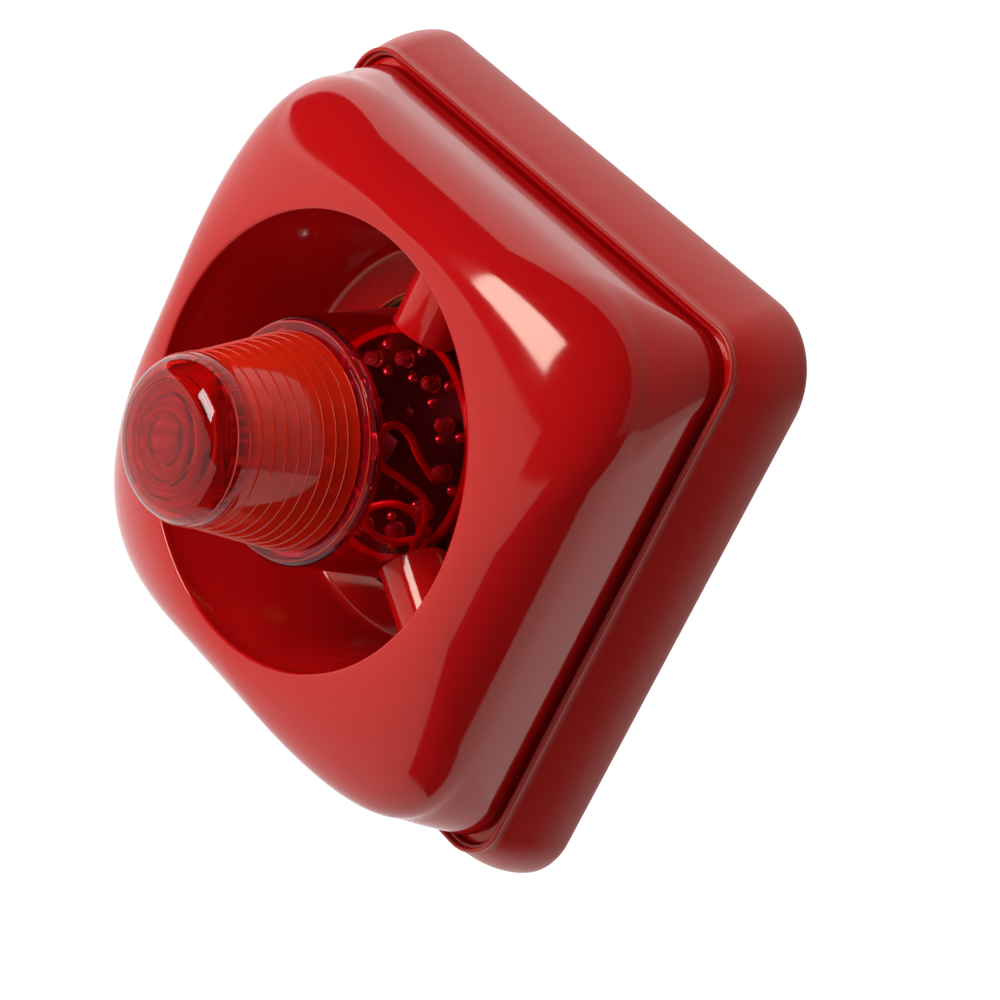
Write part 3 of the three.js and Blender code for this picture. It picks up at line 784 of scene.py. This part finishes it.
def lens_ribs():
    """The fine ridges round the lens, and two more on its flange."""
    bm = bmesh.new()
    for i in range(RIB_COUNT):
        depth = FIRST_RIB + RIB_PITCH * i
        r = lens_radius(depth) - 0.06
        spun(bm, [(r - 0.3, depth - 0.35), (r + 0.2, depth - 0.12), (r + 0.24, depth + 0.02),
                  (r - 0.3, depth + 0.2)])
    for r, depth in ((FLANGE_R, FLANGE_DEPTH - 0.12), (RIB_ROOT_R + 0.1, FLANGE_DEPTH + 0.8)):
        spun(bm, [(r - 0.35, depth - 0.2), (r, depth - 0.14), (r, depth + 0.1), (r - 0.35, depth + 0.12)])
    settle(bm)
    piece("lens_ribs", bm, "head", RIB_RED)


def seal_ring():
    """A thin clear ring in the corner between the tube and the lens's flange."""
    ring = arc(TUBE_FRONT_R - TUBE_WALL - 0.35, TUBE_FRONT - 2.6, 0.3, 0, 330, 11)
    turned("lens_o_ring", ring, "head", SILICONE, ["lens_seal"], 96)


def lamp_floor():
    """The disc that closes the tube's rear end, with three pegs that carry the lamp board."""
    edge = BULKHEAD_R
    rear, front = BULKHEAD_REAR, BULKHEAD_REAR + 2.4
    top = LAMP_BOARD_REAR - 0.4
    profile = [(0, rear), (edge - 0.3, rear), (edge, rear + 0.3), (edge, front - 0.3), (edge - 0.3, front),
               (edge - 2, front), (edge - 2.3, front - 0.6), (0, front - 0.6)]
    bm = bmesh.new()
    spun(bm, profile)
    for angle in (30, 150, 270):
        peg = [(0, front - 0.8), (2.4, front - 0.8), (1.8, front), (1.8, top), (0, top)]
        spun(bm, peg, 24, on_circle(12, angle))
    settle(bm)
    piece("lamp_floor", bm, "head", BLACK, ["beacon_bulkhead"])


LAMPS = [f"led_{i:02d}" for i in range(1, LAMP_COUNT + 1)]


def lamp_board():
    """The round board with its solder joints, its small chip parts and the ring that clamps it."""
    front = LAMP_BOARD_FRONT
    edge = LAMP_BOARD_R
    turned("lamp_board", [
        (0, LAMP_BOARD_REAR), (edge - 0.1, LAMP_BOARD_REAR), (edge, LAMP_BOARD_REAR + 0.1),
        (edge, front - 0.1), (edge - 0.1, front), (0, front),
    ], "head", BLACK_BOARD, ["led_board"])
    joint = [(0, front), (1.3, front), (1.15, front + 0.4), (0.8, front + 0.9), (0.4, front + 1.2),
             (0, front + 1.3)]
    bm = bmesh.new()
    for i in range(LAMP_COUNT):
        for r in (14.5, 20.1):
            spun(bm, joint, 16, on_circle(r, i * 360 / LAMP_COUNT + 7))
    settle(bm)
    piece("solder_joints", bm, "head", SOLDER)
    bm = bmesh.new()
    for i in range(6):
        x, z = on_circle(9, i * 60 + 20)
        brick(bm, (2, 0.6, 1.2), (x, front + 0.3, z), 0.08)
    brick(bm, (6, 1.6, 5), (0, front + 0.8, 0), 0.15)
    piece("lamp_chips", bm, "head", CHIP)
    turned("board_clamp_ring", [
        (22, front), (23.6, front), (23.8, front + 0.2), (23.6, front + 1), (22.2, front + 1),
        (22, front + 0.8),
    ], "head", GLOSS)


def lamps():
    """A domed body on a thin base for each lamp, and the bright cups inside them."""
    r = 1.5
    for name in LAMPS:
        _, foot, tip = reach(name)
        base = [(0, foot), (r + 0.25, foot), (r + 0.3, foot + 0.1), (r + 0.3, foot + 0.5),
                (r + 0.2, foot + 0.6), (r, foot + 0.65)]
        dome = arc(0, tip - r, r, 0, 90, 8)[:-1] + [(0, tip)]
        turned(f"{name}_body", base + dome, "head", EPOXY, [name], 24, spot(name))
    foot = LAMP_BOARD_FRONT + 0.35
    cup = [(0, foot + 0.5), (0.5, foot + 0.5), (1.15, foot + 1.5), (1.25, foot + 1.45),
           (0.75, foot + 0.3), (0.5, foot), (0, foot)]
    bm = bmesh.new()
    for name in LAMPS:
        spun(bm, cup, 16, spot(name))
    settle(bm)
    piece("lamp_cups", bm, "head", SOLDER)


LEAD_R = 0.74

# The leads' routes, as (x, depth, z): a loop in front of the board, out through the last strut's
# bore, and down behind the horn to the head's plug.
LEAD_ROUTES = {
    "lead_supply": [
        (14.5, 27, 2.2), (13, 31, 5.6), (11.4, 36, 10.4), (11.2, 41, 11.1), (11.8, 43, 8.4), (13.6, 42, 5),
        (17, 37, 2.7), (20.4, 32.5, 0.5), (21, 30.2, -5), (21.2, 30.2, -10.6), (26, 30.2, -14.2),
        (34, 30.2, -18.8), (42, 30.2, -23.4), (47.4, 28, -26.4), (48, 20, -26.8), (45, 13, -26.6),
        (39, 10.6, -26.8), (33.3, 10.6, -27),
    ],
    "lead_return": [
        (18, 27, -10.2), (16.4, 30.4, -12), (13.8, 34.4, -12), (12.1, 37, -9.1), (14.9, 36, -4.2),
        (18.2, 33, -3.2), (19.6, 29.6, -6), (20.2, 28.3, -11.6), (26, 28.3, -15.4),
        (34, 28.3, -20), (42, 28.3, -24.6), (46.4, 26, -28), (46.8, 20, -29), (44, 13, -29.2),
        (39, 10.6, -29), (33.3, 10.6, -29),
    ],
}


def tube_along(name, route, r, body, finish, stands_for=()):
    """A smooth round lead along the route, with rounded ends."""
    curve = bpy.data.curves.new(name, "CURVE")
    curve.dimensions = "3D"
    curve.bevel_depth = r * MM
    curve.bevel_resolution = 4
    curve.resolution_u = 12
    curve.use_fill_caps = True
    spline = curve.splines.new("BEZIER")
    spline.bezier_points.add(len(route) - 1)
    for point, (x, depth, z) in zip(spline.bezier_points, route):
        point.co = (x * MM, -depth * MM, z * MM)
        point.handle_left_type = point.handle_right_type = "AUTO"
    drawn = bpy.data.objects.new(name, curve)
    bpy.context.scene.collection.objects.link(drawn)
    shown = bpy.context.evaluated_depsgraph_get()
    bm = bmesh.new()
    bm.from_mesh(drawn.evaluated_get(shown).to_mesh())
    bpy.data.objects.remove(drawn)
    settle(bm)
    return piece(name, bm, body, finish, stands_for)


def leads():
    """The two leads, each with the solder joint that it starts from."""
    front = LAMP_BOARD_FRONT
    joint = [(0, front), (1.9, front), (1.5, front + 0.5), (0.9, front + 1.3), (0, front + 1.5)]
    for name, route in LEAD_ROUTES.items():
        tube_along(f"{name}_jacket", route, LEAD_R, "head", JACKET, [name])
        x, _, z = route[0]
        turned(f"{name}_joint", joint, "head", SOLDER, steps=24, at=(x, z))


# ---------------------------------------------------------------- parts on the main board
def can_capacitor():
    """A sleeved can with a rolled neck and a scored vent in its bare top."""
    at = spot("capacitor")
    _, rear, front = reach("capacitor")
    r = 5
    turned("capacitor_can", [
        (0, rear), (r - 0.3, rear), (r, rear + 0.3), (r, rear + 1.2), (r - 0.45, rear + 1.7),
        (r, rear + 2.2), (r, front - 0.4), (r - 0.3, front - 0.05), (r - 1, front), (r - 1.1, front - 0.2),
        (0, front - 0.2),
    ], "base", SLEEVE, ["capacitor"], 64, at)
    bm = bmesh.new()
    spun(bm, rod_profile(r - 1.2, front - 0.2, front - 0.06), 48, at)
    for width, height in ((0.35, 5.6), (5.6, 0.35)):
        brick(bm, (width, 0.12, height), (at[0], front - 0.04, at[1]), 0.04)
    settle(bm)
    piece("capacitor_top", bm, "base", SOLDER)


def wound_coil():
    """A ferrite bobbin with a winding between its two flanges."""
    at = spot("step_up_coil")
    _, rear, front = reach("step_up_coil")
    r = 6.5
    core_r = r - 2.5
    flange = 1.7
    turned("coil_bobbin", [
        (0, rear), (r - 0.2, rear), (r, rear + 0.2), (r, rear + 1.5), (r - 0.2, rear + flange),
        (core_r, rear + flange), (core_r, front - flange), (r - 0.2, front - flange), (r, front - 1.5),
        (r, front - 0.2), (r - 0.2, front), (1.2, front), (1, front - 0.8), (0, front - 0.8),
    ], "base", CHIP, ["step_up_coil"], 64, at)
    turns = 16
    pitch = (front - rear - 2 * flange) / turns
    winding = [(core_r + 0.1, rear + flange + 0.02)]
    for i in range(turns):
        winding += arc(r - 0.95, rear + flange + pitch * (i + 0.5), pitch / 2, -80, 80, 4)
    winding.append((core_r + 0.1, front - flange - 0.02))
    turned("coil_winding", winding, "base", COPPER, (), 64, at)


def chip_legs():
    """The driver chip's bent legs, eight on each long side."""
    low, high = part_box("driver_chip")
    x, z = spot("driver_chip")
    bm = bmesh.new()
    for i in range(8):
        for side in (1, -1):
            edge = z + side * (high.z - low.z) / 2 / MM
            brick(bm, (0.45, 0.3, 1.2), (x - 4.2 + 1.2 * i, BOARD_FRONT + 0.25, edge + side * 0.45), 0.08)
            brick(bm, (0.45, 1.5, 0.3), (x - 4.2 + 1.2 * i, BOARD_FRONT + 0.9, edge + side * 0.08), 0.08)
    piece("chip_legs", bm, "base", SOLDER)


# where the chip resistors and capacitors stand on the main board, as (x, z)
SMALL_PARTS = [
    (-8, 44), (-14, 40), (-4, 40), (4, 45), (9, 41), (30, 38), (34, 44), (-45, 28), (-41, 20), (-45, 12),
    (-40, 4), (-45, -6), (-39, -14), (44, 30), (40, 14), (45, 6), (39, -4), (45, -12), (-30, -42),
    (-24, -37), (-18, -44), (18, -44), (14, -38), (40, -34), (30, 28), (-32, 32), (-28, -28),
]


def small_parts():
    """Chip parts with a tinned tip on each end. Every third one stands upright."""
    bodies = bmesh.new()
    ends = bmesh.new()
    for i, (x, z) in enumerate(SMALL_PARTS):
        flat = i % 3 > 0
        brick(bodies, (2.2, 0.8, 1.2) if flat else (1.2, 0.8, 2.2), (x, BOARD_FRONT + 0.42, z), 0.06, 1)
        for shift in (0.95, -0.95):
            tip = (x + shift * flat, BOARD_FRONT + 0.43, z + shift * (not flat))
            brick(ends, (0.45, 0.86, 1.26) if flat else (1.26, 0.86, 0.45), tip, 0.06, 1)
    piece("small_parts", bodies, "base", CHIP)
    piece("small_part_ends", ends, "base", SOLDER)


def board_solder():
    """The solder cones beside the terminals, the switch and the header, and a tinned ring per screw."""
    base = BOARD_FRONT
    block_x, block_z = spot("terminal_block")
    switch_x, switch_z = spot("tone_switch")
    joints = [(block_x - 7.5 + 5 * i, block_z - 6.6) for i in range(4)]
    joints += [(switch_x - 3.8 + 2.54 * i, switch_z + side * 6.2) for i in range(4) for side in (1, -1)]
    joints += [(x, z) for x in (-6, -2, 2, 6) for z in (36.5, 38.5)]
    cone = [(0, base), (0.9, base), (0.6, base + 0.25), (0.35, base + 0.6), (0, base + 0.65)]
    ring = [(2.3, base), (3.4, base), (3.4, base + 0.06), (2.3, base + 0.06)]
    bm = bmesh.new()
    for at in joints:
        spun(bm, cone, 16, at)
    for screw in BOARD_SCREWS:
        spun(bm, ring, 32, spot(screw))
    settle(bm)
    piece("board_solder", bm, "base", SOLDER)


def terminal_ribs():
    """A raised rib between neighbouring ways of the terminal block, and one at each end."""
    low, high = (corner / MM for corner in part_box("terminal_block"))
    bm = bmesh.new()
    for i in range(5):
        x = low.x + 0.5 + (high.x - low.x - 1) * i / 4
        brick(bm, (0.7, 0.5, high.z - low.z - 0.6), (x, -low.y - 0.2, (high.z + low.z) / 2), 0.12)
    piece("terminal_ribs", bm, "base", GREEN)


def floor_ribs():
    """The stiffening ribs on the box's floor, behind the main board."""
    bm = bmesh.new()
    for x, length in ((-30, 60), (0, 50), (30, 60)):
        brick(bm, (1.2, 1.4, length), (x, BOX_FLOOR + 0.5, 8), 0.2)
    for z in (-16, 16):
        brick(bm, (84, 1.2, 1.2), (0, BOX_FLOOR + 0.4, z), 0.2)
    piece("floor_ribs", bm, "base", SATIN)


def grommet():
    """A rubber grommet with a flange on each face and three concentric steps."""
    _, rear, front = reach("cable_grommet")
    turned("stepped_grommet", [
        (2, rear + 0.3), (2.4, rear), (6.2, rear), (6.3, rear + 0.4), (5.7, rear + 0.9), (5.7, front - 1.5),
        (7.8, front - 1.5), (8, front - 1.2), (8, front - 0.7), (7.6, front - 0.4), (5.6, front - 0.4),
        (5.4, front - 0.15), (3.8, front - 0.15), (3.6, front), (2.3, front), (2, front - 0.3),
    ], "base", RUBBER, ["cable_grommet"], 72, spot("cable_grommet"))


def machine_screw(name, body, head_r, head_height, thread_r):
    """A threaded shank under a domed head with a cross recess."""
    at = spot(name)
    _, rear, front = reach(name)
    seat = front - head_height
    profile = [(0, rear), (thread_r * 0.5, rear), (thread_r - 0.25, rear + 1)]
    thread = rear + 1.2
    while thread < seat - 0.8:
        profile += [(thread_r, thread), (thread_r - 0.22, thread + 0.28)]
        thread += 0.56
    brim = seat + 0.55
    profile += [(thread_r - 0.1, seat - 0.2), (thread_r, seat), (head_r - 0.1, seat), (head_r, seat + 0.12),
                (head_r, brim)]
    profile += [(head_r * math.cos(t), brim + (front - brim) * math.sin(t))
                for t in (0.25, 0.5, 0.75, 1.0, 1.25)]
    screw = turned(f"{name}_turned", profile + [(0.3, front), (0, front)], body, ZINC,
                   [name], 40, at)
    slots = []
    for width, height in ((head_r * 1.05, 0.62), (0.62, head_r * 1.05)):
        bm = bmesh.new()
        brick(bm, (width, 1.8, height), (at[0], front, at[1]), 0)
        slots.append(cutter(bm))
    cut_out(screw, *slots)


def screws():
    """Two screws that hold the head, and four smaller ones that hold the main board."""
    for name in COVER_SCREWS:
        machine_screw(name, name, 2.8, 2.2, 1.5)
    for name in BOARD_SCREWS:
        machine_screw(name, "base", 2.28, 1.6, 1.2)


def kept_finishes():
    """Gives the CAD nodes that keep their shape the finish of the real part."""
    finishes = {
        "main_board": GREEN_BOARD, "terminal_block": GREEN, "tone_switch": BLUE, "volume_trimmer": BLUE,
        "driver_chip": CHIP, "board_header": BLACK, "sounder_chamber": BLACK, "piezo_plate": BRASS,
        "piezo_ceramic": CERAMIC, "head_plug": WHITE, "volume_rotor": BRASS,
    }
    for i in range(1, 5):
        finishes[f"terminal_screw_{i}"] = ZINC
        finishes[f"tone_lever_{i}"] = WHITE
    for name, finish in finishes.items():
        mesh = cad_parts[name].data
        mesh.materials.clear()
        mesh.materials.append(finish)


can_capacitor()
wound_coil()
chip_legs()
small_parts()
board_solder()
terminal_ribs()
floor_ribs()
grommet()
screws()
wall_box()
screw_posts()
board_standoffs()
gate_nub()
square_gasket()
horn_cap()
struts()
lamp_tube()
lamp_lens()
lens_ribs()
seal_ring()
lamp_floor()
lamp_board()
lamps()
leads()
kept_finishes()


# ---------------------------------------------------------------- floor, light and camera
def sheet(name, reach_m, level, finish):
    """A flat square sheet of the stage, in metres."""
    bm = bmesh.new()
    bmesh.ops.create_grid(bm, x_segments=1, y_segments=1, size=reach_m)
    bmesh.ops.translate(bm, verts=bm.verts, vec=(0, 0, level))
    stage_piece(name, bm, finish)


def stage_piece(name, bm, finish):
    """Makes an object that belongs to the stage."""
    mesh = bpy.data.meshes.new(name)
    bm.to_mesh(mesh)
    bm.free()
    mesh.materials.append(finish)
    made = bpy.data.objects.new(name, mesh)
    bpy.context.scene.collection.objects.link(made)
    return made


CENTRE = Vector((0, -0.03, 0))      # the lights and the drape are placed round this point
DRAPE_R = 1.15                      # metres; the other measures of the drape are degrees
DRAPE_SIDE = 94
DRAPE_FOOT = 5
CURTAIN_START = 13
CURTAIN_END = 111
CURTAIN_STEP = -7                   # below this, the curtain starts further to the right
CURTAIN_LOW_START = 42
CURTAIN_FOOT = -60


def bearing(azimuth, elevation):
    """A direction. Azimuth 0 is straight out from the wall, 90 is to the right and 180 is behind."""
    az, el = math.radians(azimuth), math.radians(elevation)
    return Vector((math.sin(az) * math.cos(el), -math.cos(az) * math.cos(el), math.sin(el)))


def drape():
    """Black cloth in two parts: over the front of the room, and a curtain on its right.

    It darkens what the gloss reflects. Cameras don't see it.
    """
    bm = bmesh.new()
    bmesh.ops.create_uvsphere(bm, u_segments=120, v_segments=90, radius=DRAPE_R)
    bmesh.ops.translate(bm, vec=CENTRE, verts=bm.verts)
    bare = []
    for face in bm.faces:
        way = (face.calc_center_median() - CENTRE).normalized()
        azimuth = math.degrees(math.atan2(way.x, -way.y))
        elevation = math.degrees(math.asin(way.z))
        above = elevation > DRAPE_FOOT and abs(azimuth) < DRAPE_SIDE
        start = CURTAIN_START if elevation > CURTAIN_STEP else CURTAIN_LOW_START
        curtain = start < azimuth < CURTAIN_END and CURTAIN_FOOT < elevation < DRAPE_FOOT
        if not (above or curtain):
            bare.append(face)
    bmesh.ops.delete(bm, geom=bare, context="FACES")
    stage_piece("drape", bm, BLACK).visible_camera = False


CAMERA = {"azimuth": 38.77, "elevation": 23.3, "roll": 26.37, "lens": 113.35, "distance": 0.58052}
TARGET = Vector((0.04878, -0.04594, 0.01983))


def camera_axes():
    """The camera's right, up and backward directions."""
    back = bearing(CAMERA["azimuth"], CAMERA["elevation"])
    azimuth, roll = math.radians(CAMERA["azimuth"]), math.radians(CAMERA["roll"])
    level = Vector((math.cos(azimuth), math.sin(azimuth), 0))
    right = math.cos(roll) * level + math.sin(roll) * back.cross(level)
    return right, back.cross(right), back


def camera():
    """Places the camera above the siren and to its right, and rolls it."""
    right, up, back = camera_axes()
    data = bpy.data.cameras.new("camera")
    data.lens = CAMERA["lens"]
    data.sensor_width = 36
    data.clip_start = 0.01
    data.clip_end = 100
    made = bpy.data.objects.new("camera", data)
    place = Matrix((right, up, back)).transposed().to_4x4()
    place.translation = TARGET + back * CAMERA["distance"]
    made.matrix_world = place
    bpy.context.scene.collection.objects.link(made)
    bpy.context.scene.camera = made


def softbox(name, azimuth, elevation, width, height, radiance):
    """A rectangular studio light a metre away, facing the object."""
    light = bpy.data.lights.new(name, "AREA")
    light.shape = "RECTANGLE"
    light.size = width
    light.size_y = height
    light.energy = radiance * math.pi * width * height
    made = bpy.data.objects.new(name, light)
    way = bearing(azimuth, elevation)
    made.location = CENTRE + way
    made.rotation_euler = way.to_track_quat("Z", "Y").to_euler()
    bpy.context.scene.collection.objects.link(made)


def inner_glow(name, depth, toward, radiance, radius=0.007):
    """A small lamp in the lens that stands for the light which the clear walls let in."""
    light = bpy.data.lights.new(name, "AREA")
    light.shape = "DISK"
    light.size = 2 * radius
    light.energy = radiance * math.pi ** 2 * radius ** 2
    made = bpy.data.objects.new(name, light)
    made.location = (-0.004, -depth * MM, 0.006)
    made.rotation_euler = Vector((0, toward, 0)).to_track_quat("-Z", "Y").to_euler()
    made.visible_camera = False
    made.visible_transmission = False
    bpy.context.scene.collection.objects.link(made)


def studio():
    """A pale room, brighter to the left than to the right."""
    world = bpy.data.worlds.new("studio")
    world.use_nodes = True
    tree = world.node_tree
    tree.nodes.clear()
    way = node(tree, "ShaderNodeTexCoord").outputs["Generated"]
    across = node(tree, "ShaderNodeSeparateXYZ", {"Vector": way}).outputs["X"]
    spread = {"Value": across, "From Min": -0.8, "From Max": 0.8, "To Min": 1.5, "To Max": 0.38}
    light = node(tree, "ShaderNodeMapRange", spread).outputs["Result"]
    background = node(tree, "ShaderNodeBackground", {"Color": linear("FFFFFF"), "Strength": light})
    node(tree, "ShaderNodeOutputWorld", {"Surface": background.outputs["Background"]})
    bpy.context.scene.world = world


sheet("floor", 40, -1.25, pale_floor())
camera()
studio()
drape()
inner_glow("front_glow", 56, -1, 10)
inner_glow("rear_glow", 54, 1, 34, 0.005)
softbox("key", -12, 26, 0.48, 0.34, 16.5)
bpy.context.scene.view_settings.view_transform = "Standard"
